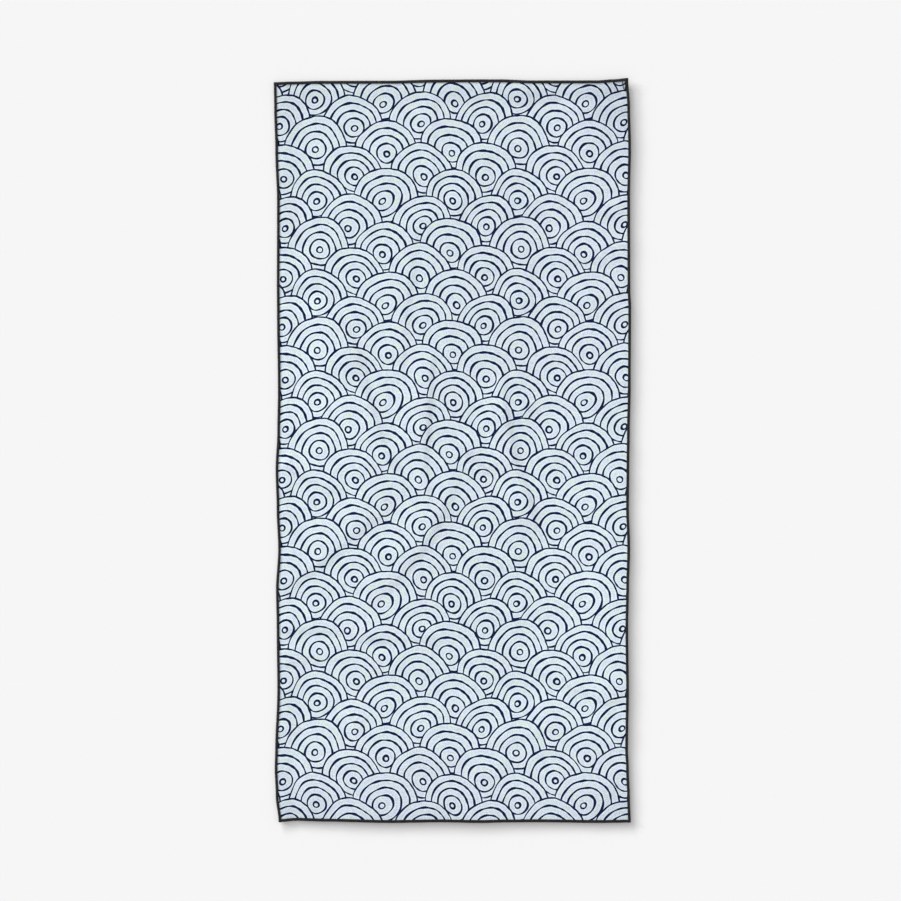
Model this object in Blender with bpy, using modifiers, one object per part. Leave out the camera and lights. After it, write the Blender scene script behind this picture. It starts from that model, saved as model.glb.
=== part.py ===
"""Flat bath towel of thin microfibre, lying face up.

One rectangular cloth panel with soft creases, and an overlocked edging sewn
along each of its four sides. Each edging strip is a flat sleeve that wraps
the edge of the cloth: an upper wall, an outer wall and a lower wall.

Metres, +Z up. The long sides run along Y, the short sides along X, and the
towel rests on z = 0 with the origin in the middle of its underside.
"""

import bpy
import bmesh

MM = 0.001

# ---------------------------------------------------------------- sizes
WIDTH = 869.4 * MM          # cloth, from left to right edge
LENGTH = 1828.2 * MM        # cloth, from bottom to top edge
CLOTH = 1.5 * MM            # thickness of the cloth
WALL = 0.5 * MM             # thickness of the edging's thread layer
GAP = 0.46 * MM             # air between the edging and the cloth
COVER = 6.2 * MM            # how far the edging reaches in over the cloth
BAND = 10.0 * MM            # level margin of the cloth that the edging wraps
MITRE = 0.65 * MM           # how far each edging end stays off its corner line
EDGE_RISE = WALL + GAP      # the cloth lies on the edging's lower wall

CELLS_X = 26                # cells across the cloth between the two margins
CELLS_Y = 56                # cells along the cloth between the two margins
SPREAD = 20.0 * MM          # added to a crease's drop, so that the cells can follow it

# How far each long side wanders from straight, to the right (+) or left (-).
LONG_SIDES = [  # y_mm, left_mm, right_mm
    (915, -6.7, -4.2),
    (845, -5.9, 0.3),
    (745, -3.2, 2.7),
    (620, 1.0, 0.3),
    (400, 0.5, 1.0),
    (350, 0.9, 3.0),
    (150, 3.2, 2.0),
    (50, 1.7, -0.2),
    (-42, -2.5, -1.5),
    (-140, 0.0, -2.5),
    (-239, 3.9, 0.5),
    (-340, -1.5, -2.2),
    (-437, 0.2, -4.2),
    (-590, 1.7, -2.5),
    (-735, -3.4, -4.7),
    (-782, -4.7, -2.6),
    (-850, -2.0, 0.0),
    (-915, 5.2, 2.2),
]

# How far each short side wanders from straight, up (+) or down (-).
SHORT_SIDES = [  # x_mm, top_mm, bottom_mm
    (-435, -4.4, 0.7),
    (-392, -2.7, 4.2),
    (-313, -1.0, 2.0),
    (-155, -0.6, -1.1),
    (-36, 2.1, 0.6),
    (67, 2.7, -1.1),
    (122, 2.5, 0.2),
    (201, -0.2, 0.7),
    (359, -0.2, -1.2),
    (398, 2.2, -0.8),
    (435, 5.4, 0.0),
]

# How high the long edges stand off the surface below them.
LONG_LIFT = [  # y_mm, left_mm, right_mm
    (915, 2.6, 6.5),
    (800, 0.8, 5.6),
    (560, 0.0, 4.8),
    (150, 0.0, 4.4),
    (-300, 0.0, 5.0),
    (-620, 0.4, 5.2),
    (-800, 1.4, 5.0),
    (-915, 3.2, 3.8),
]

# How high the short edges stand off the surface below them.
SHORT_LIFT = [  # x_mm, top_mm, bottom_mm
    (-435, 2.6, 3.2),
    (-200, 1.4, 4.2),
    (0, 1.6, 4.4),
    (180, 3.0, 4.2),
    (330, 4.4, 4.6),
    (435, 6.5, 3.6),
]
LIFT_REACH = {"left": 60 * MM, "right": 250 * MM, "top": 60 * MM, "bottom": 230 * MM}

# Creases. Each runs from its start to its end with a sideways bow, climbs
# gently over `near` and drops again over `far`; the drop lies on the left of
# the way from start to end. It fades in and out over a share of its length.
FOLDS = [  # name, x0, y0, x1, y1, bow, height, near, far (all mm), fade_in, fade_out
    ("left_swell",   -262,  440, -244,  -20,   0, 1.5, 150,120, .45, .30),
    ("left_top",     -318,  414, -428,  392,   0, 1.0,  70, 16, .35, .10),
    ("sweep_upper",  -345,  396, -207,  150,  27, 2.2, 130, 20, .16, .38),
    ("sweep_lower",  -227,  238,  -88, -112, -26, 2.2, 130, 20, .30, .16),
    ("upper_line",    -66,  620, -123,  168, -12, 1.2,  80, 18, .50, .16),
    ("centre_line",   -41,  280,  -54, -165, -14, 2.1,  80, 19, .16, .22),
    ("short_slant",   102,  -68,    2,   38,   0, 1.4,  34, 22, .30, .30),
    ("right_line",    116,  232,  231, -222, -19, 2.8,  80, 22, .30, .20),
    ("lower_diag",     31,  -30, -196, -382,  27, 1.9,  95, 29, .25, .22),
    ("left_diag",    -148, -138, -430, -372,  -3, 1.7,  95, 28, .15, .25),
    ("left_short",   -268, -115, -430,  -30,   6, 1.9,  55, 16, .35, .10),
    ("low_right",      40, -468, -262, -467,   2, 1.3,  80, 17, .35, .22),
    ("low_left",     -140, -470, -430, -446,  -7, 1.2,  80, 18, .22, .12),
    ("low_under",    -235, -510, -430, -530,   0, 1.1,  50, 18, .35, .12),
    ("right_slant",   425, -628,  150, -495,  21, 1.8,  85, 20, .15, .30),
    ("foot_line",     282, -667,   38, -746,  13, 0.8,  60, 24, .25, .25),
    ("foot_left",    -240, -652, -288, -656,   0, 0.4,  24, 14, .35, .35),
    ("foot_swell",    400, -770, -400, -770,   0, 1.8, 110, 150, .25, .25),
    ("head_line",     -41,  885,  -37,  620,   0, 1.0,  60, 13, .12, .30),
    ("head_mid",       50,  712,   12,  470,  -6, 0.5,  50, 16, .35, .35),
    ("upper_right",   183,  492,  203,  300,   3, 0.8,  45, 14, .35, .35),
    ("right_high",    425,  588,  314,  570,   0, 0.8,  45, 18, .15, .35),
    ("right_mid",     410,  470,  236,  463,   3, 0.8,  50, 16, .25, .35),
]


# ---------------------------------------------------------------- helpers
def smooth(t):
    """0 to 1 with level ends."""
    t = min(max(t, 0.0), 1.0)
    return t * t * (3.0 - 2.0 * t)


def along(table, position, column):
    """Value of a table's column at a position, eased from row to row."""
    rows = sorted(table)
    if position <= rows[0][0]:
        return rows[0][column] * MM
    for low, high in zip(rows, rows[1:]):
        if position <= high[0]:
            t = (position - low[0]) / (high[0] - low[0])
            return (low[column] + (high[column] - low[column]) * smooth(t)) * MM
    return rows[-1][column] * MM


def clamp(value, limit):
    return min(max(value, -limit), limit)


def fold_height(x, y):
    """Sum of the creases at a point, in metres."""
    total = 0.0
    for name, x0, y0, x1, y1, bow, height, near, far, fade_in, fade_out in FOLDS:
        ax, ay, bx, by = x0 * MM, y0 * MM, x1 * MM, y1 * MM
        length = ((bx - ax) ** 2 + (by - ay) ** 2) ** 0.5
        dx, dy = (bx - ax) / length, (by - ay) / length
        t = ((x - ax) * dx + (y - ay) * dy) / length
        if t <= 0.0 or t >= 1.0:
            continue
        side = (x - ax) * -dy + (y - ay) * dx - bow * MM * 4.0 * t * (1.0 - t)
        drop = far * MM + SPREAD
        if side >= drop / 2.0 or side <= -drop / 2.0 - near * MM:
            continue
        if side > -drop / 2.0:
            shape = 1.0 - smooth((side + drop / 2.0) / drop)
        else:
            shape = smooth((side + drop / 2.0 + near * MM) / (near * MM))
        ends = smooth(t / fade_in) * smooth((1.0 - t) / fade_out)
        total += height * MM * shape * ends
    return total


def edge_lift(x, y):
    """Height that the raised edges give a point, in metres."""
    inner_x, inner_y = WIDTH / 2 - BAND, LENGTH / 2 - BAND
    sides = [
        ((x + inner_x) / LIFT_REACH["left"], along(LONG_LIFT, y / MM, 1)),
        ((inner_x - x) / LIFT_REACH["right"], along(LONG_LIFT, y / MM, 2)),
        ((inner_y - y) / LIFT_REACH["top"], along(SHORT_LIFT, x / MM, 1)),
        ((y + inner_y) / LIFT_REACH["bottom"], along(SHORT_LIFT, x / MM, 2)),
    ]
    weights = [1.0 - smooth(reach) for reach, lift in sides]
    if sum(weights) < 1e-6:
        return 0.0
    lifts = [EDGE_RISE + lift for reach, lift in sides]
    return sum(w * w * lift for w, lift in zip(weights, lifts)) / sum(weights)


def underside(x, y):
    """Height of the cloth's underside; level across each margin."""
    x = clamp(x, WIDTH / 2 - BAND)
    y = clamp(y, LENGTH / 2 - BAND)
    return edge_lift(x, y) + fold_height(x, y)


def stations(size, cells):
    """Places of the grid lines across a size, with a margin at both ends."""
    inner = size / 2 - BAND
    places = [-inner + 2 * inner * i / cells for i in range(cells + 1)]
    return [-size / 2] + places + [size / 2]


COLUMNS = stations(WIDTH, CELLS_X)
ROWS = stations(LENGTH, CELLS_Y)


def cloth_point(x, y):
    """Plan position of a grid point, once the sides wander."""
    u, v = x / WIDTH + 0.5, y / LENGTH + 0.5
    left, right = along(LONG_SIDES, y / MM, 1), along(LONG_SIDES, y / MM, 2)
    top, bottom = along(SHORT_SIDES, x / MM, 1), along(SHORT_SIDES, x / MM, 2)
    return x + left * (1 - u) + right * u, y + bottom * (1 - v) + top * v


# ---------------------------------------------------------------- scene
for old in list(bpy.data.objects):
    bpy.data.objects.remove(old, do_unlink=True)

towel = bpy.data.collections.new("bath_towel")
bpy.context.scene.collection.children.link(towel)


def make_material(name, colour, roughness):
    material = bpy.data.materials.new(name)
    material.use_nodes = True
    shader = material.node_tree.nodes["Principled BSDF"]
    shader.inputs["Base Color"].default_value = (*colour, 1.0)
    shader.inputs["Roughness"].default_value = roughness
    shader.inputs["Metallic"].default_value = 0.0
    return material


def grid_object(name, across, lengthwise, place, thickness, offset, material):
    """A grid whose points `place` lays out, thickened into a closed sheet."""
    mesh = bpy.data.meshes.new(name)
    bm = bmesh.new()
    bmesh.ops.create_grid(bm, x_segments=across, y_segments=lengthwise, size=0.5)
    for vert in bm.verts:
        i = round((vert.co.x + 0.5) * across)
        j = round((vert.co.y + 0.5) * lengthwise)
        vert.co = place(i, j)
    bmesh.ops.recalc_face_normals(bm, faces=bm.faces)
    bm.to_mesh(mesh)
    bm.free()
    obj = bpy.data.objects.new(name, mesh)
    obj.data.materials.append(material)
    towel.objects.link(obj)
    solid = obj.modifiers.new("thickness", "SOLIDIFY")
    solid.thickness = thickness
    solid.offset = offset
    solid.use_even_offset = True
    return obj


# The cloth: its upper face is laid out, and thickened downwards.
def cloth_place(i, j):
    x, y = cloth_point(COLUMNS[i], ROWS[j])
    return x, y, underside(COLUMNS[i], ROWS[j]) + CLOTH


cloth = grid_object("cloth_panel", len(COLUMNS) - 1, len(ROWS) - 1, cloth_place,
                    CLOTH, -1.0, make_material("printed_microfibre", (0.66, 0.75, 0.82), 0.85))

# An edging strip: the middle of its thread layer is laid out as upper wall,
# outer wall and lower wall, and thickened to both sides.
SECTION = [  # inset from the cloth's edge, side of the cloth (1 over, 0 under)
    (COVER, 1),
    (-(GAP + WALL / 2), 1),
    (-(GAP + WALL / 2), 0),
    (COVER, 0),
]


def edge_plan(side, s):
    """Plan position on one side's edge at a place s along it."""
    line = ROWS if side in ("left", "right") else COLUMNS
    k = 0
    while k < len(line) - 2 and s > line[k + 1]:
        k += 1
    t = (s - line[k]) / (line[k + 1] - line[k])
    ends = []
    for place in (line[k], line[k + 1]):
        if side == "left":
            ends.append(cloth_point(-WIDTH / 2, place))
        elif side == "right":
            ends.append(cloth_point(WIDTH / 2, place))
        elif side == "top":
            ends.append(cloth_point(place, LENGTH / 2))
        else:
            ends.append(cloth_point(place, -LENGTH / 2))
    (x0, y0), (x1, y1) = ends
    return x0 + (x1 - x0) * t, y0 + (y1 - y0) * t


def edge_height(side, s):
    if side in ("left", "right"):
        return underside((-1 if side == "left" else 1) * WIDTH / 2, s)
    return underside(s, (1 if side == "top" else -1) * LENGTH / 2)


INWARD = {"left": (1, 0), "right": (-1, 0), "top": (0, -1), "bottom": (0, 1)}


def edging_place(side):
    line = ROWS if side in ("left", "right") else COLUMNS
    in_x, in_y = INWARD[side]

    def place(i, j):
        inset, over = SECTION[i]
        s = line[j]
        if j == 0:
            s += inset + MITRE
        elif j == len(line) - 1:
            s -= inset + MITRE
        x, y = edge_plan(side, s)
        z = edge_height(side, line[j])
        z += CLOTH + GAP + WALL / 2 if over else -(GAP + WALL / 2)
        return x + in_x * inset, y + in_y * inset, z

    return place


thread = make_material("black_overlock_thread", (0.012, 0.012, 0.014), 0.7)
strips = []
for side in ("top", "bottom", "left", "right"):
    line = ROWS if side in ("left", "right") else COLUMNS
    strips.append(grid_object("edging_" + side, len(SECTION) - 1, len(line) - 1,
                              edging_place(side), WALL, 0.0, thread))

# Put the middle of the whole towel over the origin.
points = [vert.co for strip in strips for vert in strip.data.vertices]
shift_x = -(min(p.x for p in points) + max(p.x for p in points)) / 2
shift_y = -(min(p.y for p in points) + max(p.y for p in points)) / 2
for obj in [cloth] + strips:
    for vert in obj.data.vertices:
        vert.co.x += shift_x
        vert.co.y += shift_y
    obj.data.update()
print("towel shift", round(shift_x / MM, 3), round(shift_y / MM, 3))
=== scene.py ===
import math

import bpy
import numpy as np
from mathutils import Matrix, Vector


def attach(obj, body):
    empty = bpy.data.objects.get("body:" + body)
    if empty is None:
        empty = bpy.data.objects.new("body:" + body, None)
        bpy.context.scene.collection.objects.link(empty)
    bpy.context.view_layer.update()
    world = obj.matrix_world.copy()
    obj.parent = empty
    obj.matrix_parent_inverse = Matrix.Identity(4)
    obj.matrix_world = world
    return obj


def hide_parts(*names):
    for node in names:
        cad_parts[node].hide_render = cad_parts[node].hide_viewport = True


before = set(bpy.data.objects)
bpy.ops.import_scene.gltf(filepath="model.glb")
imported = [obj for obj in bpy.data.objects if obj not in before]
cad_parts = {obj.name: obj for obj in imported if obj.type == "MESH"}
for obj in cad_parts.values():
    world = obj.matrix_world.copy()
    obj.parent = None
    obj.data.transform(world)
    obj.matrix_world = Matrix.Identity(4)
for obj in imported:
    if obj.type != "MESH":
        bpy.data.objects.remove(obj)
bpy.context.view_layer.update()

MM = 0.001

# ------------------------------------------------------------------ sizes
WIDTH = 869.4 * MM          # cloth, side to side
LENGTH = 1828.2 * MM        # cloth, foot to head
CLOTH = 1.4 * MM            # thickness of the microfibre
BAND = 10.0 * MM            # margin held level by the edging
EDGE_RISE = 1.2 * MM        # thread layer under the cloth's edge
SHIFT = (1.875 * MM, -2.1 * MM)   # puts the middle of the outline over the origin
CELLS_X, CELLS_Y = 144, 304

LONG_SIDES = [  # y_mm, left_mm, right_mm: waver of the long sides
    (915, -6.7, -4.2), (845, -5.9, 0.3), (745, -3.2, 2.7), (620, 1.0, 0.3), (400, 0.5, 1.0),
    (350, 0.9, 3.0), (150, 3.2, 2.0), (50, 1.7, -0.2), (-42, -2.5, -1.5), (-140, 0.0, -2.5),
    (-239, 3.9, 0.5), (-340, -1.5, -2.2), (-437, 0.2, -4.2), (-590, 1.7, -2.5),
    (-735, -3.4, -4.7), (-782, -4.7, -2.6), (-850, -2.0, 0.0), (-915, 5.2, 2.2),
]
SHORT_SIDES = [  # x_mm, top_mm, bottom_mm: waver of the short sides
    (-435, -4.4, 0.7), (-392, -2.7, 4.2), (-313, -1.0, 2.0), (-155, -0.6, -1.1),
    (-36, 2.1, 0.6), (67, 2.7, -1.1), (122, 2.5, 0.2), (201, -0.2, 0.7), (359, -0.2, -1.2),
    (398, 2.2, -0.8), (435, 5.4, 0.0),
]
LONG_LIFT = [  # y_mm, left_mm, right_mm: how high the long edges stand
    (915, 2.6, 6.5), (800, 0.8, 5.6), (560, 0.0, 4.8), (150, 0.0, 4.4), (-300, 0.0, 5.0),
    (-620, 0.4, 5.2), (-800, 1.4, 5.0), (-915, 3.2, 3.8),
]
SHORT_LIFT = [  # x_mm, top_mm, bottom_mm: how high the short edges stand
    (-435, 2.6, 3.2), (-200, 1.4, 4.2), (0, 1.6, 4.4), (180, 3.0, 4.2), (330, 4.4, 4.6),
    (435, 6.5, 3.6),
]
LIFT_REACH = {"left": 60 * MM, "right": 250 * MM, "top": 60 * MM, "bottom": 230 * MM}

# Creases: start, end, sideways bow, height, width of the gentle rise, width of
# the drop, and the share of the length over which each end fades. The drop
# lies on the left of the way from start to end.
FOLDS = [  # name, x0, y0, x1, y1, bow, height, near, far, fade0, fade1
    ("left_swell",   -262,  440, -244,  -20,   0, 1.5, 150,120, .45, .30),
    ("left_top",     -318,  414, -428,  392,   0, 1.0,  70, 16, .35, .10),
    ("sweep_upper",  -345,  396, -207,  150,  27, 2.2, 130, 20, .16, .38),
    ("sweep_lower",  -227,  238,  -88, -112, -26, 2.2, 130, 20, .30, .16),
    ("upper_line",    -66,  620, -123,  168, -12, 1.2,  80, 18, .50, .16),
    ("centre_line",   -41,  280,  -54, -165, -14, 2.1,  80, 19, .16, .22),
    ("short_slant",   102,  -68,    2,   38,   0, 1.4,  34, 22, .30, .30),
    ("right_line",    116,  232,  231, -222, -19, 2.8,  80, 22, .30, .20),
    ("lower_diag",     31,  -30, -196, -382,  27, 1.9,  95, 29, .25, .22),
    ("left_diag",    -148, -138, -430, -372,  -3, 1.7,  95, 28, .15, .25),
    ("left_short",   -268, -115, -430,  -30,   6, 1.9,  55, 16, .35, .10),
    ("low_right",      40, -468, -262, -467,   2, 1.3,  80, 17, .35, .22),
    ("low_left",     -140, -470, -430, -446,  -7, 1.2,  80, 18, .22, .12),
    ("low_under",    -235, -510, -430, -530,   0, 1.1,  50, 18, .35, .12),
    ("right_slant",   425, -628,  150, -495,  21, 1.8,  85, 20, .15, .30),
    ("foot_line",     282, -667,   38, -746,  13, 0.8,  60, 24, .25, .25),
    ("foot_left",    -240, -652, -288, -656,   0, 0.4,  24, 14, .35, .35),
    ("foot_swell",    400, -770, -400, -770,   0, 1.8, 110, 150, .25, .25),
    ("head_line",     -41,  885,  -37,  620,   0, 1.0,  60, 13, .12, .30),
    ("head_mid",       50,  712,   12,  470,  -6, 0.5,  50, 16, .35, .35),
    ("upper_right",   183,  492,  203,  300,   3, 0.8,  45, 14, .35, .35),
    ("right_high",    425,  588,  314,  570,   0, 0.8,  45, 18, .15, .35),
    ("right_mid",     410,  470,  236,  463,   3, 0.8,  50, 16, .25, .35),
]


# ------------------------------------------------------------------ cloth form
def smooth(t):
    t = np.clip(t, 0.0, 1.0)
    return t * t * (3.0 - 2.0 * t)


def along(table, position, column):
    rows = np.array(sorted(table), float)
    p = np.clip(np.asarray(position, float), rows[0, 0], rows[-1, 0])
    k = np.clip(np.searchsorted(rows[:, 0], p, side="right") - 1, 0, len(rows) - 2)
    t = (p - rows[k, 0]) / (rows[k + 1, 0] - rows[k, 0])
    return (rows[k, column] + (rows[k + 1, column] - rows[k, column]) * smooth(t)) * MM


def fold_height(x, y):
    total = np.zeros_like(x)
    for name, x0, y0, x1, y1, bow, height, near, far, fade0, fade1 in FOLDS:
        ax, ay, bx, by = x0 * MM, y0 * MM, x1 * MM, y1 * MM
        length = math.hypot(bx - ax, by - ay)
        dx, dy = (bx - ax) / length, (by - ay) / length
        t = ((x - ax) * dx + (y - ay) * dy) / length
        u = np.clip(t, 0.0, 1.0)
        wander = 2.2 * MM * np.sin(u * length / (31 * MM) + height) * smooth(u / 0.2) * smooth((1 - u) / 0.2)
        side = (x - ax) * -dy + (y - ay) * dx - bow * MM * 4.0 * u * (1.0 - u) - wander * min(1.0, 60.0 / near)
        drop, rise = far * MM, near * MM
        falling = 1.0 - smooth((side + drop / 2) / drop)
        rising = smooth((side + drop / 2 + rise) / rise)
        shape = np.where(side > -drop / 2, falling, rising)
        ends = smooth(t / fade0) * smooth((1.0 - t) / fade1)
        uneven = 1.0 + 0.16 * np.sin(u * length / (47 * MM) + 2.0 * height)
        total += height * MM * shape * ends * uneven
    return total


def edge_lift(x, y):
    inner_x, inner_y = WIDTH / 2 - BAND, LENGTH / 2 - BAND
    w = np.stack([
        1 - smooth((x + inner_x) / LIFT_REACH["left"]),
        1 - smooth((inner_x - x) / LIFT_REACH["right"]),
        1 - smooth((inner_y - y) / LIFT_REACH["top"]),
        1 - smooth((y + inner_y) / LIFT_REACH["bottom"]),
    ])
    lift = EDGE_RISE + np.stack([
        along(LONG_LIFT, y / MM, 1), along(LONG_LIFT, y / MM, 2),
        along(SHORT_LIFT, x / MM, 1), along(SHORT_LIFT, x / MM, 2),
    ])
    return (w * w * lift).sum(0) / np.maximum(w.sum(0), 1e-6)


def ripple_table():
    """Directions, wavelengths and phases of the cloth's faint unevenness."""
    rng = np.random.default_rng(11)
    angle = rng.uniform(0, math.pi, 34)
    wave = np.exp(rng.uniform(math.log(46), math.log(190), 34)) * MM
    return angle, wave, rng.uniform(0, 2 * math.pi, 34)


RIPPLES = ripple_table()


def unevenness(x, y):
    total = np.zeros_like(x)
    for angle, wave, phase in zip(*RIPPLES):
        k = 2 * math.pi / wave
        bend = 0.5 * np.sin(2.3 * (x * math.sin(angle) - y * math.cos(angle)) / (3 * wave) + phase)
        total += 0.00055 * wave * np.sin(k * (x * math.cos(angle) + y * math.sin(angle)) + phase + bend)
    return total


def edge_ripple(x, y):
    """Small ripples that the stitching draws into the margins."""
    inner_x, inner_y = WIDTH / 2 - BAND, LENGTH / 2 - BAND
    near_side = 1 - smooth((inner_x - np.abs(x)) / (34 * MM))
    near_end = 1 - smooth((inner_y - np.abs(y)) / (34 * MM))
    s = np.where(near_side > near_end, y, x)
    wave = (0.5 * np.sin(s / (6.1 * MM) + 2.2 * np.sin(s / (41 * MM)))
            + 0.5 * np.sin(s / (13.7 * MM) + 1.7))
    calm = smooth((LENGTH / 2 - 4 * MM - np.abs(y)) / (40 * MM)) * smooth((WIDTH / 2 - 4 * MM - np.abs(x)) / (40 * MM))
    along_side = near_side * smooth((LENGTH / 2 - np.abs(y)) / (50 * MM))
    along_end = near_end * smooth((WIDTH / 2 - np.abs(x)) / (50 * MM))
    return (0.28 * MM) * (1 + wave) * np.maximum(along_side, along_end)


def underside(x, y):
    x = np.clip(x, -(WIDTH / 2 - BAND), WIDTH / 2 - BAND)
    y = np.clip(y, -(LENGTH / 2 - BAND), LENGTH / 2 - BAND)
    floor = edge_lift(x, y) + fold_height(x, y) + edge_ripple(x, y)
    return floor + np.maximum(0.25 * MM + unevenness(x, y), 0.0)


def cloth_point(x, y):
    u, v = x / WIDTH + 0.5, y / LENGTH + 0.5
    left, right = along(LONG_SIDES, y / MM, 1), along(LONG_SIDES, y / MM, 2)
    top, bottom = along(SHORT_SIDES, x / MM, 1), along(SHORT_SIDES, x / MM, 2)
    return (x + left * (1 - u) + right * u + SHIFT[0],
            y + bottom * (1 - v) + top * v + SHIFT[1])


# ------------------------------------------------------------------ mesh tools
def new_mesh(name, points, quads, uvs, tris=()):
    """A smooth-shaded object from arrays of points, quads and triangles, with its UV maps."""
    mesh = bpy.data.meshes.new(name)
    quads = np.asarray(quads, np.int32).reshape(-1, 4)
    tris = np.asarray(tris, np.int32).reshape(-1, 3)
    corners = np.concatenate([quads.ravel(), tris.ravel()])
    starts = np.concatenate([np.arange(len(quads)) * 4, quads.size + np.arange(len(tris)) * 3])
    mesh.vertices.add(len(points))
    mesh.vertices.foreach_set("co", np.asarray(points, np.float32).ravel())
    mesh.loops.add(len(corners))
    mesh.loops.foreach_set("vertex_index", corners)
    mesh.polygons.add(len(starts))
    mesh.polygons.foreach_set("loop_start", starts.astype(np.int32))
    mesh.update(calc_edges=True)
    mesh.validate()
    for uv_name, uv in uvs:
        layer = mesh.uv_layers.new(name=uv_name, do_init=False)
        layer.data.foreach_set("uv", np.asarray(uv, np.float32).ravel())
    mesh.shade_smooth()
    obj = bpy.data.objects.new(name, mesh)
    bpy.context.scene.collection.objects.link(obj)
    return obj


# ------------------------------------------------------------------ the cloth
def make_cloth():
    gx = np.linspace(-WIDTH / 2, WIDTH / 2, CELLS_X + 1)
    gy = np.linspace(-LENGTH / 2, LENGTH / 2, CELLS_Y + 1)
    x, y = np.meshgrid(gx, gy)
    px, py = cloth_point(x, y)
    low = underside(x, y)
    n = x.size
    upper = np.stack([px, py, low + CLOTH], -1).reshape(-1, 3)
    lower = np.stack([px, py, low], -1).reshape(-1, 3)
    index = np.arange(n).reshape(x.shape)
    a, b = index[:-1, :-1].ravel(), index[:-1, 1:].ravel()
    c, d = index[1:, 1:].ravel(), index[1:, :-1].ravel()
    top = np.stack([a, b, c, d], -1)
    bottom = np.stack([a, d, c, b], -1) + n
    ring = np.concatenate([index[0, :], index[1:, -1], index[-1, -2::-1], index[-2:0:-1, 0]])
    after = np.roll(ring, -1)
    rim = np.stack([ring + n, after + n, after, ring], -1)
    faces = np.concatenate([top, bottom, rim])

    flat = np.stack([x.ravel(), y.ravel()], -1)
    flat = np.concatenate([flat, flat])
    u, v = flat[:, 0] / WIDTH + 0.5, flat[:, 1] / LENGTH + 0.5
    bake_top = np.stack([0.006 + 0.694 * u, 0.006 + 0.988 * v], -1)
    bake_low = np.stack([0.994 - 0.266 * u, 0.006 + 0.988 * v], -1)
    flat_uv = flat[faces.ravel()]
    bake_uv = np.where(np.repeat(np.arange(len(faces)) < len(top), 4)[:, None],
                       bake_top[faces.ravel()], bake_low[faces.ravel()])
    # The rim gets two thin strips between the two sides of the map.
    m = len(ring)
    rim_uv = np.zeros((m, 4, 2))
    s = np.arange(m)
    per = math.ceil(m / 2)
    r, k = s // per, s % per
    left = 0.7055 + 0.0095 * r
    for corner, (across, up) in enumerate([(0, 0), (0, 1), (1, 1), (1, 0)]):
        rim_uv[:, corner, 0] = left + 0.006 * across
        rim_uv[:, corner, 1] = 0.01 + 0.98 * (k + up) / per
    bake_uv[-m * 4:] = rim_uv.reshape(-1, 2)
    obj = new_mesh("towel_cloth", np.concatenate([upper, lower]), faces,
                   [("flat", flat_uv), ("OFBake", bake_uv)])
    material_index = np.zeros(len(faces), np.int32)
    material_index[len(top):] = 1
    obj.data.polygons.foreach_set("material_index", material_index)
    return obj


# ------------------------------------------------------------------ the edging
PITCH = 2.35 * MM           # stitch to stitch
REACH = {"top": 6.2, "bottom": 6.2, "left": 5.5, "right": 5.5}   # mm, edge to needle line
THREAD = 0.63 * MM          # radius of the looper threads, fluffed up
NEEDLE = 0.30 * MM          # radius of the needle thread


def side_frame(side, s):
    """Edge point, direction along the edge and inward direction at places s."""
    def at(q):
        if side in ("left", "right"):
            x = np.full_like(q, (-1 if side == "left" else 1) * WIDTH / 2)
            y = q
        else:
            x = q
            y = np.full_like(q, (1 if side == "top" else -1) * LENGTH / 2)
        px, py = cloth_point(x, y)
        return px, py, underside(x, y)
    h = 0.5 * MM
    limit = (LENGTH if side in ("left", "right") else WIDTH) / 2
    inside = np.clip(s, -limit, limit)
    px, py, pz = at(inside)
    qx, qy, qz = at(np.clip(inside + h, -limit, limit))
    rx, ry, rz = at(np.clip(inside - h, -limit, limit))
    t = np.stack([qx - rx, qy - ry, qz - rz], -1)
    t /= np.linalg.norm(t, axis=-1, keepdims=True)
    turn = {"left": -1, "right": 1, "top": -1, "bottom": 1}[side]
    if side in ("left", "right"):
        n = np.stack([-t[:, 1], t[:, 0], np.zeros(len(t))], -1) * (1 if side == "right" else -1)
    else:
        n = np.stack([-t[:, 1], t[:, 0], np.zeros(len(t))], -1) * (-1 if side == "top" else 1)
    n /= np.linalg.norm(n, axis=-1, keepdims=True)
    p = np.stack([px, py, pz + CLOTH / 2], -1) + t * (s - inside)[:, None]
    return p, t, n


def tube(points, radius, sides, reference):
    """Rings of points round a path; reference is a direction it never runs in."""
    d = np.gradient(points, axis=0)
    d /= np.linalg.norm(d, axis=1, keepdims=True)
    b = reference - (reference * d).sum(1, keepdims=True) * d
    b /= np.linalg.norm(b, axis=1, keepdims=True)
    n = np.cross(d, b)
    angle = np.arange(sides) * 2 * math.pi / sides
    radius = np.broadcast_to(np.asarray(radius, float), (len(points),))
    ring = (np.cos(angle)[None, :, None] * n[:, None, :] + np.sin(angle)[None, :, None] * b[:, None, :])
    rings = points[:, None, :] + ring * radius[:, None, None]
    m = len(points)
    i = np.arange(m - 1)[:, None] * sides
    j = np.arange(sides)[None, :]
    k = (j + 1) % sides
    faces = np.stack([i + j, i + sides + j, i + sides + k, i + k], -1).reshape(-1, 4)
    step = np.repeat(np.arange(m - 1), sides)
    corner_u = np.stack([j + 0 * i, j + 0 * i, j + 1 + 0 * i, j + 1 + 0 * i], -1).reshape(-1, 4) / sides
    corner_v = np.stack([step, step + 1, step + 1, step], -1)
    fan = np.array([(0, q, q + 1) for q in range(1, sides - 1)])
    ends = np.concatenate([fan, fan[:, ::-1] + (m - 1) * sides])
    return rings.reshape(-1, 3), faces, corner_u, corner_v, ends


# A short loop of chained thread left at the end of the last seam: places on the
# flat cloth in mm, running in under the head's edging and back out.
TAIL = [(420.4, 910.5), (420.9, 905.5), (421.4, 900.4), (422.0, 895.0), (422.7, 890.0), (423.9, 886.8),
        (425.8, 886.0), (427.2, 888.6), (427.9, 893.4), (427.9, 898.8), (427.5, 904.0), (427.0, 910.0)]


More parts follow.
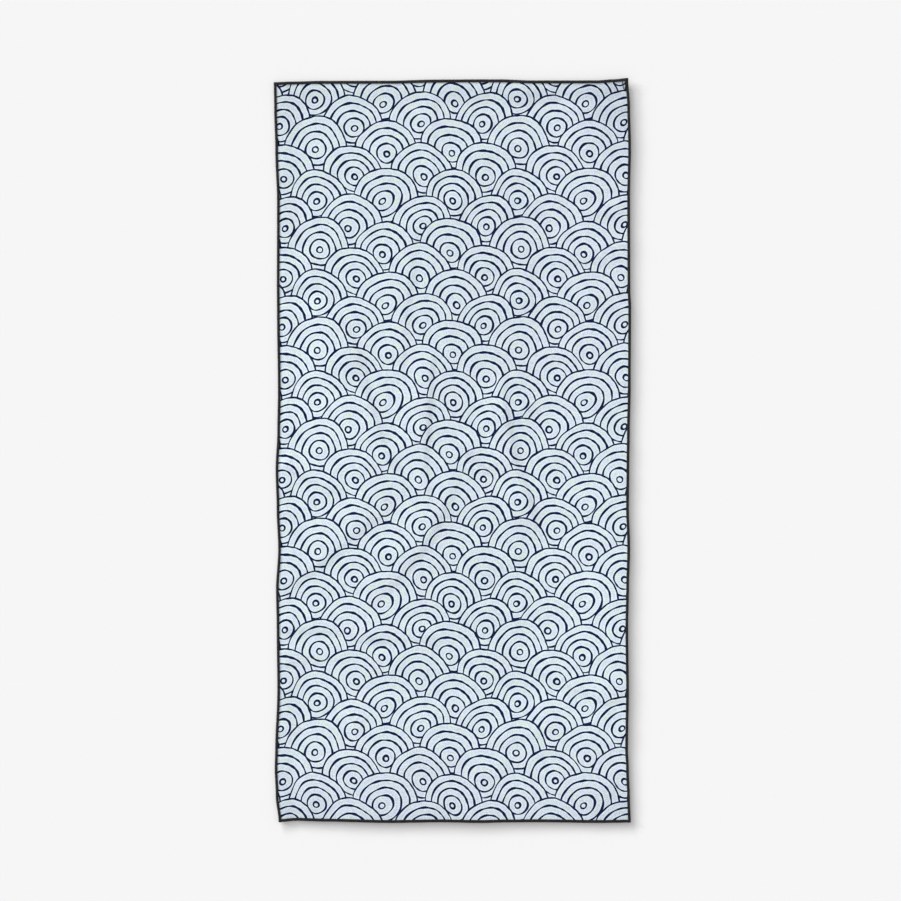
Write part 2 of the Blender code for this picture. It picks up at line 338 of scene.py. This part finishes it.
def make_edging(side):
    length = LENGTH if side in ("left", "right") else WIDTH
    over = side in ("left", "right")      # sewn last, over the short sides' ends
    start = -length / 2 - (0.8 if over else 0.7) * MM
    end = length / 2 - 0.1 * MM
    count = int(round((end - start) / PITCH))
    pitch = (end - start) / count
    rng = np.random.default_rng({"top": 3, "bottom": 4, "left": 5, "right": 6}[side])

    def place(k, a, d, h):
        """Rows of (stitch, share of the pitch along, inset mm, height mm)."""
        s = start + (k + a) * pitch
        p, t, n = side_frame(side, s)
        close = 1 - smooth((length / 2 - np.abs(s)) / (9 * MM))
        h = h * (1 + (0.75 if over else 0.0) * close)
        d = d - 0.35 * close * over
        return p + n * (d * MM)[:, None] + np.array([0, 0, 1.0]) * (h * MM)[:, None], t

    half = CLOTH / 2 / MM + THREAD / MM * 0.88
    out = THREAD / MM * 0.75
    reach = REACH[side]
    pieces = []
    # Two looper threads wind round the edge, half a stitch apart: each comes up
    # at the needle line, crosses the top, turns round the edge and goes back below.
    wrap = np.array([  # share of the turn, inset mm, height mm
        (0.00, reach + 0.15, half * 0.30),
        (0.05, reach - 0.55, half + 0.02),
        (0.17, reach * 0.60, half + 0.16),
        (0.29, reach * 0.28, half + 0.20),
        (0.38, 0.35, half + 0.05),
        (0.45, -out, half * 0.10),
        (0.52, 0.25, -half - 0.02),
        (0.72, reach * 0.45, -half - 0.04),
        (0.92, reach - 0.20, -half * 0.72),
    ])
    for second in (0, 1):
        k = np.repeat(np.arange(count), len(wrap)).astype(float)
        row = np.tile(wrap, (count, 1))
        shake = rng.normal(0, 1, (count, 3)).repeat(len(wrap), 0)
        a = 0.5 * second + row[:, 0] + 0.045 * shake[:, 0] * (np.abs(row[:, 1] - reach) > 1.0)
        d = row[:, 1] + 0.14 * shake[:, 1] * (np.abs(row[:, 1] - reach) < 1.0) + 0.10 * shake[:, 2] * (row[:, 1] < 0)
        h = row[:, 2] + (0.05 * shake[:, 2] + 0.06 * second) * np.sign(row[:, 2])
        looper, t = place(k, a, d, h)
        swell = 1.0 + 0.07 * np.sin(np.arange(len(looper)) * 1.7 + second) + 0.05 * shake[:, 1]
        pieces.append((tube(looper, THREAD * swell, 5, t), len(wrap)))

    # Needle thread: short straight stitches with a dip at each hole.
    needle = np.array([
        (0.00, reach, half * 0.72), (0.20, reach, half + 0.52), (0.50, reach, half + 0.66), (0.80, reach, half + 0.52),
    ])
    k = np.repeat(np.arange(count), len(needle)).astype(float)
    row = np.tile(needle, (count, 1))
    line, t = place(k, row[:, 0], row[:, 1], row[:, 2])
    up = np.broadcast_to(np.array([0, 0, 1.0]), line.shape)
    pieces.append((tube(line, NEEDLE, 5, up), len(needle)))

    if side == "right":
        spots = np.array(TAIL) * MM
        fine = np.linspace(0, len(spots) - 1, 7 * (len(spots) - 1) + 1)
        tx, ty = (np.interp(fine, np.arange(len(spots)), spots[:, k]) for k in (0, 1))
        dx, dy = np.gradient(tx), np.gradient(ty)
        run = np.hypot(dx, dy)
        for strand in (0, math.pi):       # two strands twisted round each other
            round_x, round_z = np.cos(fine * 5.9 + strand), np.sin(fine * 5.9 + strand)
            px, py = cloth_point(tx - 0.42 * MM * round_x * dy / run, ty + 0.42 * MM * round_x * dx / run)
            loop = np.stack([px, py, underside(tx, ty) + CLOTH + (1.05 + 0.42 * round_z) * MM], -1)
            up = np.broadcast_to(np.array([0, 0, 1.0]), loop.shape)
            pieces.append((tube(loop, 0.60 * MM, 5, up), len(loop)))

    # Join the threads, with a cell of the bake map for each stitch of each.
    points, faces, uvs, caps, cap_uvs = [], [], [], [], []
    cells = math.ceil(math.sqrt(3 * (count + 1) + 2))
    base, cell0 = 0, 0
    for (rings, quads, cu, cv, ends), per in pieces:
        cell = (cv.min(1) // per).astype(int)
        inside = (cv - (cell * per)[:, None]) / per
        cell = cell + cell0
        gx, gy = cell % cells, cell // cells
        u = (gx[:, None] + 0.08 + 0.84 * cu) / cells
        v = (gy[:, None] + 0.08 + 0.84 * inside) / cells
        points.append(rings)
        faces.append(quads + base)
        uvs.append(np.stack([u, v], -1).reshape(-1, 2))
        # The closed ends lie in the margins of the first and last cells.
        caps.append(ends + base)
        round_end = (ends % 5) * (2 * math.pi / 5)
        own = np.where(np.arange(len(ends)) < len(ends) // 2, cell0, int(cell.max()))[:, None]
        cap_uvs.append(np.stack([(own % cells + 0.04 + 0.03 * np.cos(round_end)) / cells,
                                 (own // cells + 0.04 + 0.03 * np.sin(round_end)) / cells], -1).reshape(-1, 2))
        base += len(rings)
        cell0 += int(cell.max()) + 1 - cell0
    return new_mesh("overlock_" + side, np.concatenate(points), np.concatenate(faces),
                    [("OFBake", np.concatenate(uvs + cap_uvs))], np.concatenate(caps))


# ------------------------------------------------------------------ materials
class Net:
    """Short names for the node graph's arithmetic."""

    def __init__(self, tree):
        self.tree = tree

    def node(self, kind, **settings):
        made = self.tree.nodes.new(kind)
        for key, value in settings.items():
            setattr(made, key, value)
        return made

    def put(self, socket, value):
        if isinstance(value, bpy.types.NodeSocket):
            self.tree.links.new(value, socket)
        else:
            socket.default_value = value

    def math(self, operation, *values, clamp=False):
        made = self.node("ShaderNodeMath", operation=operation, use_clamp=clamp)
        for socket, value in zip(made.inputs, values):
            self.put(socket, value)
        return made.outputs[0]

    def add(self, *values):
        total = values[0]
        for value in values[1:]:
            total = self.math("ADD", total, value)
        return total

    def mul(self, a, b):
        return self.math("MULTIPLY", a, b)

    def sub(self, a, b):
        return self.math("SUBTRACT", a, b)

    def mad(self, a, b, c):
        return self.math("MULTIPLY_ADD", a, b, c)

    def sine(self, a, ka, b, kb, phase, size):
        """size * sin(a * ka + b * kb + phase)"""
        inner = self.mad(a, ka, phase)
        if kb:
            inner = self.mad(b, kb, inner)
        return self.mul(self.math("SINE", inner), size)

    def between(self, value, low, high, start=0.0, end=1.0, soft=True):
        made = self.node("ShaderNodeMapRange", interpolation_type="SMOOTHSTEP" if soft else "LINEAR")
        self.put(made.inputs["Value"], value)
        self.put(made.inputs["From Min"], low)
        self.put(made.inputs["From Max"], high)
        self.put(made.inputs["To Min"], start)
        self.put(made.inputs["To Max"], end)
        return made.outputs["Result"]

    def mix(self, factor, a, b):
        made = self.node("ShaderNodeMix", data_type="RGBA")
        self.put(made.inputs[0], factor)
        self.put(made.inputs[6], a)
        self.put(made.inputs[7], b)
        return made.outputs[2]

    def noise(self, vector, scale, detail=2.0, rough=0.5, colour=False):
        made = self.node("ShaderNodeTexNoise")
        self.put(made.inputs["Vector"], vector)
        made.inputs["Scale"].default_value = scale
        made.inputs["Detail"].default_value = detail
        made.inputs["Roughness"].default_value = rough
        return made.outputs["Color" if colour else "Fac"]


# Wave-fan print: overlapping ringed fans in staggered rows.
FAN_PITCH = 165.5 * MM      # fan to fan in a row
ROW_PITCH = 62.1 * MM       # row to row
FAN_RADIUS = 76.0 * MM
RING = 16.4 * MM            # ring to ring
LINE = 4.75 * MM            # width of a drawn line


def fan_group():
    """Node group: does a fan of this row cover the point, is it on a line, is it near one?"""
    tree = bpy.data.node_groups.new("wave_fan", "ShaderNodeTree")
    face = tree.interface
    for name in ("X", "Y", "Row", "Line"):
        face.new_socket(name=name, in_out="INPUT", socket_type="NodeSocketFloat")
    for name in ("Inside", "Ink", "Near"):
        face.new_socket(name=name, in_out="OUTPUT", socket_type="NodeSocketFloat")
    net = Net(tree)
    given, result = tree.nodes.new("NodeGroupInput"), tree.nodes.new("NodeGroupOutput")
    x, y, row, line = (given.outputs[n] for n in ("X", "Y", "Row", "Line"))
    stagger = net.mul(net.math("FLOORED_MODULO", row, 2.0), 0.5)
    column = net.math("ROUND", net.sub(net.math("DIVIDE", x, FAN_PITCH), stagger))
    chance = net.node("ShaderNodeTexWhiteNoise", noise_dimensions="3D")
    where = net.node("ShaderNodeCombineXYZ")
    net.put(where.inputs[0], net.math("FLOORED_MODULO", column, 3.0))
    net.put(where.inputs[1], net.math("FLOORED_MODULO", row, 8.0))
    net.put(where.inputs[2], 4.0)
    net.put(chance.inputs["Vector"], where.outputs[0])
    parts = net.node("ShaderNodeSeparateColor")
    net.put(parts.inputs[0], chance.outputs["Color"])
    r1, r2, r3 = parts.outputs[0], parts.outputs[1], parts.outputs[2]
    r4 = chance.outputs["Value"]
    centre_x = net.add(net.mul(net.add(column, stagger), FAN_PITCH), net.mad(r1, 10 * MM, -5 * MM))
    centre_y = net.add(net.mul(row, ROW_PITCH), net.mad(r2, 8 * MM, -4 * MM))
    radius = net.mad(r3, 8 * MM, FAN_RADIUS - 4 * MM)
    dx, dy = net.sub(x, centre_x), net.sub(y, centre_y)
    far = net.math("SQRT", net.mad(dx, dx, net.mul(dy, dy)))
    inside = net.math("LESS_THAN", far, radius)
    # Rings nest towards a point off the fan's centre.
    turn = net.mad(r4, 2.0, -1.0 - math.pi / 2)
    off = net.mul(radius, 0.12)
    ex, ey = net.mul(off, net.math("COSINE", turn)), net.mul(off, net.math("SINE", turn))
    vx, vy = net.sub(dx, ex), net.sub(dy, ey)
    square = net.sub(net.mul(radius, radius), net.mul(off, off))
    dot = net.mad(vx, ex, net.mul(vy, ey))
    size = net.mad(vx, vx, net.mul(vy, vy))
    root = net.math("SQRT", net.mad(dot, dot, net.mul(square, size)))
    share = net.math("DIVIDE", net.add(dot, root), square)
    depth = net.mul(net.sub(1.0, share), radius)
    rings = net.add(net.math("FLOOR", net.math("DIVIDE", radius, RING)), 0.5)
    spacing = net.math("DIVIDE", radius, rings)
    half = net.mul(line, 0.5)
    gap = net.math("PINGPONG", net.math("ABSOLUTE", net.sub(depth, 0.33 * LINE)), net.mul(spacing, 0.5))
    ink = net.between(gap, net.add(half, -0.22 * MM), net.add(half, 0.22 * MM), 1.0, 0.0)
    within = net.between(gap, half, net.add(half, 4.2 * MM), 1.0, 0.0)
    beyond = net.between(far, radius, net.add(radius, 4.2 * MM), 1.0, 0.0)
    net.put(result.inputs["Inside"], inside)
    net.put(result.inputs["Ink"], ink)
    net.put(result.inputs["Near"], net.mad(inside, net.sub(within, beyond), beyond))
    return tree


def print_ink(net, fan):
    """Ink and nearness to ink, 0 to 1, over the flat cloth, in the frame of the UV map 'flat'."""
    uv = net.node("ShaderNodeUVMap", uv_map="flat")
    split = net.node("ShaderNodeSeparateXYZ")
    net.put(split.inputs[0], uv.outputs[0])
    x, y = split.outputs[0], split.outputs[1]
    q = 2 * math.pi / (248.3 * MM)
    bend_x = net.add(net.sine(y, q, x, 0, 1.1, 4.0 * MM), net.sine(y, 2 * q, x, q, 0.4, 1.6 * MM),
                     net.sine(x, 111.0, y, 77.0, 0.0, 0.35 * MM), net.sine(y, 141.0, x, -59.0, 0.0, 0.25 * MM))
    bend_y = net.add(net.sine(x, q, y, 0, 0.5, 3.2 * MM), net.sine(x, 2 * q, y, -q, 2.6, 2.0 * MM),
                     net.sine(y, 125.0, x, 67.0, 0.0, 0.35 * MM), net.sine(x, 159.0, y, -91.0, 0.0, 0.25 * MM))
    u, v = net.add(x, bend_x), net.add(y, bend_y)
    thick = net.add(1.0, net.sine(x, 101.0, y, 76.0, 0.0, 0.20), net.sine(x, 273.0, y, -203.0, 0.0, 0.16))
    fray = net.mad(net.noise(uv.outputs[0], 520.0, 2.0, 0.6), 0.16, 0.92)
    line = net.mul(net.mul(thick, fray), LINE)
    base = net.math("FLOOR", net.math("DIVIDE", v, ROW_PITCH))
    ink = None
    for step in (2, 1, 0, -1):
        one = net.node("ShaderNodeGroup", node_tree=fan)
        net.put(one.inputs["X"], u)
        net.put(one.inputs["Y"], v)
        net.put(one.inputs["Row"], net.add(base, float(step)))
        net.put(one.inputs["Line"], line)
        if ink is None:
            ink, near = one.outputs["Ink"], one.outputs["Near"]
        else:
            ink = net.mad(one.outputs["Inside"], net.sub(one.outputs["Ink"], ink), ink)
            kept = net.math("MAXIMUM", net.mul(near, net.sub(1.0, one.outputs["Inside"])), one.outputs["Near"])
            near = kept
    return uv.outputs[0], ink, near


# Soft, wide patches of painted light and shade on the ground, as a share of its brightness:
# painted shade at the corners, towards the foot, on the upper right and along the short slanting
# crease; painted light along the left side and on a patch at the lower right; small patches elsewhere.
PAINTED_LIGHT_AND_SHADE_PATCHES = [  # x, y, half_width_x, half_width_y (mm), turned (degrees), amount
    (-425,  890,  75, 115,  0, -0.050), (412,  868, 100, 118,  0, -0.155),
    (-415, -890,  85,  75,  0, -0.080), (408, -875, 100,  95,  0, -0.090),
    (0,    -912, 700,  62,  0, -0.040), (-120, -880, 360, 140, 0, -0.062),
    (60,    590, 120,  75,  0, -0.012), (-392, 200,  85, 230,  0,  0.034),
    (352,  -330,  85, 160,  0,  0.028), (-435,  60, 260, 850,  0,  0.042),
    (-330,   60, 110,  80,  0,  0.045), (330,  480, 260, 420,  0, -0.040),
    (-150,   80,  90, 110,  0,  0.012), (52,    -16, 62,    9, -45, -0.075),
]


def painted_light_and_shade(net, flat):
    """1 plus the sum of the soft patches of painted light and shade."""
    split = net.node("ShaderNodeSeparateXYZ")
    net.put(split.inputs[0], flat)
    total = 1.0
    for x, y, wide, tall, turned, amount in PAINTED_LIGHT_AND_SHADE_PATCHES:
        dx, dy = net.sub(split.outputs[0], x * MM), net.sub(split.outputs[1], y * MM)
        if turned:
            c, s = math.cos(math.radians(turned)), math.sin(math.radians(turned))
            dx, dy = net.mad(dx, c, net.mul(dy, s)), net.mad(dy, c, net.mul(dx, -s))
        dx, dy = net.math("DIVIDE", dx, wide * MM), net.math("DIVIDE", dy, tall * MM)
        far = net.mad(dx, dx, net.mul(dy, dy))
        total = net.mad(net.math("POWER", math.e, net.mul(far, -1.0)), amount, total)
    return total


def rgb(r, g, b):
    """sRGB 0-255 to a linear node colour."""
    def line(c):
        c /= 255.0
        return c / 12.92 if c <= 0.04045 else ((c + 0.055) / 1.055) ** 2.4
    return (line(r), line(g), line(b), 1.0)


def cloth_material(name, fan, front):
    material = bpy.data.materials.new(name)
    material.use_nodes = True
    tree = material.node_tree
    net = Net(tree)
    shader = tree.nodes["Principled BSDF"]
    flat, ink, near = print_ink(net, fan)
    # Ground: pale blue with faint cooler and greener clouds, more lilac where painted
    # shade darkens the cloth, a lighter haze beside the drawn lines, and fibre grain.
    cloud = net.noise(flat, 48.0, 2.0, 0.5)
    tint = net.noise(flat, 71.0, 2.0, 0.5)
    speckle = net.noise(flat, 205.0, 2.0, 0.65)
    grain = net.noise(flat, 900.0, 2.0, 0.6)
    ground = net.mix(net.between(cloud, 0.40, 0.62), GROUND_COOL, GROUND_GREEN)
    # Painted light and shade: the patches above scale the ground's brightness up and down.
    painted_light_level = painted_light_and_shade(net, flat)
    # Where the painted shade darkens the ground, it is also tinted towards lilac.
    painted_shade_share = net.math("MINIMUM", net.math("MAXIMUM", net.sub(1.0, painted_light_level), 0.0), 0.06)
    ground = net.mix(net.mad(painted_shade_share, 4.0, net.mul(net.between(tint, 0.46, 0.66), 0.8)), ground, GROUND_LILAC)
    if front:
        ground = net.mix(net.mul(near, 0.72), ground, GROUND_NEAR)
    ground = net.mix(net.mad(grain, 0.26, -0.02), ground, GROUND_DEEP)
    shade = net.node("ShaderNodeVectorMath", operation="SCALE")
    net.put(shade.inputs[0], ground)
    mottle = net.add(net.mad(net.noise(flat, 95.0, 3.0, 0.55), 0.22, -0.11), net.mad(speckle, 0.38, -0.19),
                     net.mad(net.noise(flat, 410.0, 1.0, 0.5), 0.76, -0.38))
    net.put(shade.inputs["Scale"], net.add(painted_light_level, mottle))
    ground = shade.outputs[0]
    dye = net.mix(net.between(grain, 0.3, 0.7), INK_DEEP, INK)
    if front:
        colour = net.mix(net.mul(ink, 0.995), ground, dye)
    else:
        colour = net.mix(net.mul(ink, 0.10), ground, dye)
    # The rim lies under dense thread: the cloth there is painted near-black, painted shade between the stitches, so no
    # pale cloth shows through them.
    place = net.node("ShaderNodeSeparateXYZ")
    net.put(place.inputs[0], flat)
    under = net.math("MAXIMUM", net.sub(net.math("ABSOLUTE", place.outputs[0]), WIDTH / 2 - 3.2 * MM),
                     net.sub(net.math("ABSOLUTE", place.outputs[1]), LENGTH / 2 - 3.2 * MM))
    colour = net.mix(net.between(under, -0.4 * MM, 0.4 * MM), colour, rgb(22, 22, 24))
    net.put(shader.inputs["Base Color"], colour)
    # Microfibre face: fine brushed pile over a close knit.
    knit_x = net.node("ShaderNodeTexWave", wave_type="BANDS", bands_direction="X", wave_profile="SIN")
    knit_y = net.node("ShaderNodeTexWave", wave_type="BANDS", bands_direction="Y", wave_profile="SIN")
    for wave, scale in ((knit_x, 230.0), (knit_y, 190.0)):
        net.put(wave.inputs["Vector"], flat)
        wave.inputs["Scale"].default_value = scale
        wave.inputs["Distortion"].default_value = 1.4
        wave.inputs["Detail"].default_value = 1.0
        wave.inputs["Detail Scale"].default_value = 2.0
    knit = net.mul(knit_x.outputs["Fac"], knit_y.outputs["Fac"])
    pile = net.noise(flat, 1500.0, 3.0, 0.65)
    crush = net.noise(flat, 95.0, 3.0, 0.5)
    height = net.add(net.mul(knit, 0.35), net.mul(pile, 0.45), net.mul(crush, 0.9))
    bump = net.node("ShaderNodeBump")
    bump.inputs["Strength"].default_value = 0.55
    bump.inputs["Distance"].default_value = 0.35 * MM
    net.put(bump.inputs["Height"], height)
    net.put(shader.inputs["Normal"], bump.outputs[0])
    net.put(shader.inputs["Roughness"], net.mad(pile, 0.14, 0.84))
    shader.inputs["Specular IOR Level"].default_value = 0.01
    shader.inputs["Sheen Weight"].default_value = 0.03
    shader.inputs["Sheen Roughness"].default_value = 0.5
    shader.inputs["Sheen Tint"].default_value = (0.9, 0.95, 1.0, 1.0)
    return material


GROUND_COOL = rgb(207, 221, 230)
GROUND_GREEN = rgb(210, 225, 217)
GROUND_LILAC = rgb(208, 214, 233)
GROUND_NEAR = rgb(229, 242, 255)
GROUND_DEEP = rgb(180, 196, 206)
INK = rgb(11, 29, 71)
INK_DEEP = rgb(6, 17, 47)


def thread_material():
    material = bpy.data.materials.new("overlock_thread")
    material.use_nodes = True
    tree = material.node_tree
    net = Net(tree)
    shader = tree.nodes["Principled BSDF"]
    place = net.node("ShaderNodeTexCoord").outputs["Object"]
    fluff = net.noise(place, 2600.0, 2.0, 0.6)
    wear = net.noise(place, 90.0, 2.0, 0.5)
    colour = net.mix(net.between(fluff, 0.35, 0.7), rgb(9, 9, 10), rgb(30, 30, 33))
    colour = net.mix(net.mul(net.between(wear, 0.5, 0.75), 0.3), colour, rgb(52, 52, 58))
    net.put(shader.inputs["Base Color"], colour)
    bump = net.node("ShaderNodeBump")
    bump.inputs["Strength"].default_value = 0.6
    bump.inputs["Distance"].default_value = 0.12 * MM
    net.put(bump.inputs["Height"], fluff)
    net.put(shader.inputs["Normal"], bump.outputs[0])
    net.put(shader.inputs["Roughness"], net.mad(fluff, 0.2, 0.55))
    shader.inputs["Specular IOR Level"].default_value = 0.3
    shader.inputs["Sheen Weight"].default_value = 0.08
    return material


# ------------------------------------------------------------------ build
cloth = make_cloth()
fan = fan_group()
cloth.data.materials.append(cloth_material("printed_face", fan, True))
cloth.data.materials.append(cloth_material("plain_back", fan, False))
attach(cloth, "root")
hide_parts("cloth_panel")

thread = thread_material()
for side in ("top", "bottom", "left", "right"):
    edging = make_edging(side)
    edging.data.materials.append(thread)
    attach(edging, "root")
    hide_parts("edging_" + side)

# ------------------------------------------------------------------ stage
floor_mesh = bpy.data.meshes.new("floor")
reach = 40.0
floor_mesh.from_pydata([(-reach, -reach, -0.0002), (reach, -reach, -0.0002), (reach, reach, -0.0002), (-reach, reach, -0.0002)],
                       [], [(0, 1, 2, 3)])
floor = bpy.data.objects.new("floor", floor_mesh)
bpy.context.scene.collection.objects.link(floor)
paper = bpy.data.materials.new("pale_paper")
paper.use_nodes = True
paper.node_tree.nodes["Principled BSDF"].inputs["Base Color"].default_value = (0.842, 0.84, 0.842, 1.0)
paper.node_tree.nodes["Principled BSDF"].inputs["Roughness"].default_value = 1.0
paper.node_tree.nodes["Principled BSDF"].inputs["Specular IOR Level"].default_value = 0.0
floor_mesh.materials.append(paper)

world = bpy.data.worlds.new("studio")
bpy.context.scene.world = world
world.use_nodes = True
world.node_tree.nodes["Background"].inputs["Color"].default_value = (1.0, 1.0, 1.0, 1.0)
world.node_tree.nodes["Background"].inputs["Strength"].default_value = 0.636


def sun(name, from_left, from_head, elevation, strength, spread):
    """A soft sun whose light comes from the towel's left and head end."""
    lamp = bpy.data.lights.new(name, "SUN")
    lamp.energy = strength
    lamp.angle = math.radians(spread)
    obj = bpy.data.objects.new(name, lamp)
    bpy.context.scene.collection.objects.link(obj)
    flat = math.hypot(from_left, from_head)
    e = math.radians(elevation)
    towards = Vector((-from_left / flat * math.cos(e), from_head / flat * math.cos(e), math.sin(e)))
    obj.rotation_mode = "QUATERNION"
    obj.rotation_quaternion = towards.to_track_quat("Z", "Y")
    return obj


# One wide soft light, as rows of three suns: elevation, share of the light, spread.
KEY = 1.447                  # what the stack gives the floor, in W/m2
for number, (elevation, share, spread) in enumerate([
        (11.0, 0.17, 4.5), (13.0, 0.22, 5.0), (15.0, 0.24, 5.5), (18.5, 0.22, 6.5), (26.0, 0.10, 10.0),
        (44.0, 0.05, 18.0)]):
    lean = 2.6 if number % 2 else -2.6
    for hand, turn in (("left", -20.0), ("middle", 0.0), ("head", 20.0)):
        azimuth = math.radians(45.8 + turn + lean)
        sun("key_%s_%d" % (hand, number), math.cos(azimuth), math.sin(azimuth), elevation,
            KEY * share / 3 / math.sin(math.radians(elevation)), spread)

camera_data = bpy.data.cameras.new("camera")
camera = bpy.data.objects.new("camera", camera_data)
bpy.context.scene.collection.objects.link(camera)
camera_data.lens = 100.0
camera_data.sensor_width = 36.0
camera_data.clip_start, camera_data.clip_end = 0.1, 60.0
FRAME_M = 901 * 2.468 * MM                 # the view's width on the floor
camera.location = (-1.9 * 2.468 * MM, 0.05 * 2.468 * MM, FRAME_M * 100.0 / 36.0)
camera.rotation_euler = (0.0, 0.0, 0.0)
bpy.context.scene.camera = camera
bpy.context.scene.view_settings.view_transform = "Standard"
bpy.context.scene.view_settings.look = "None"
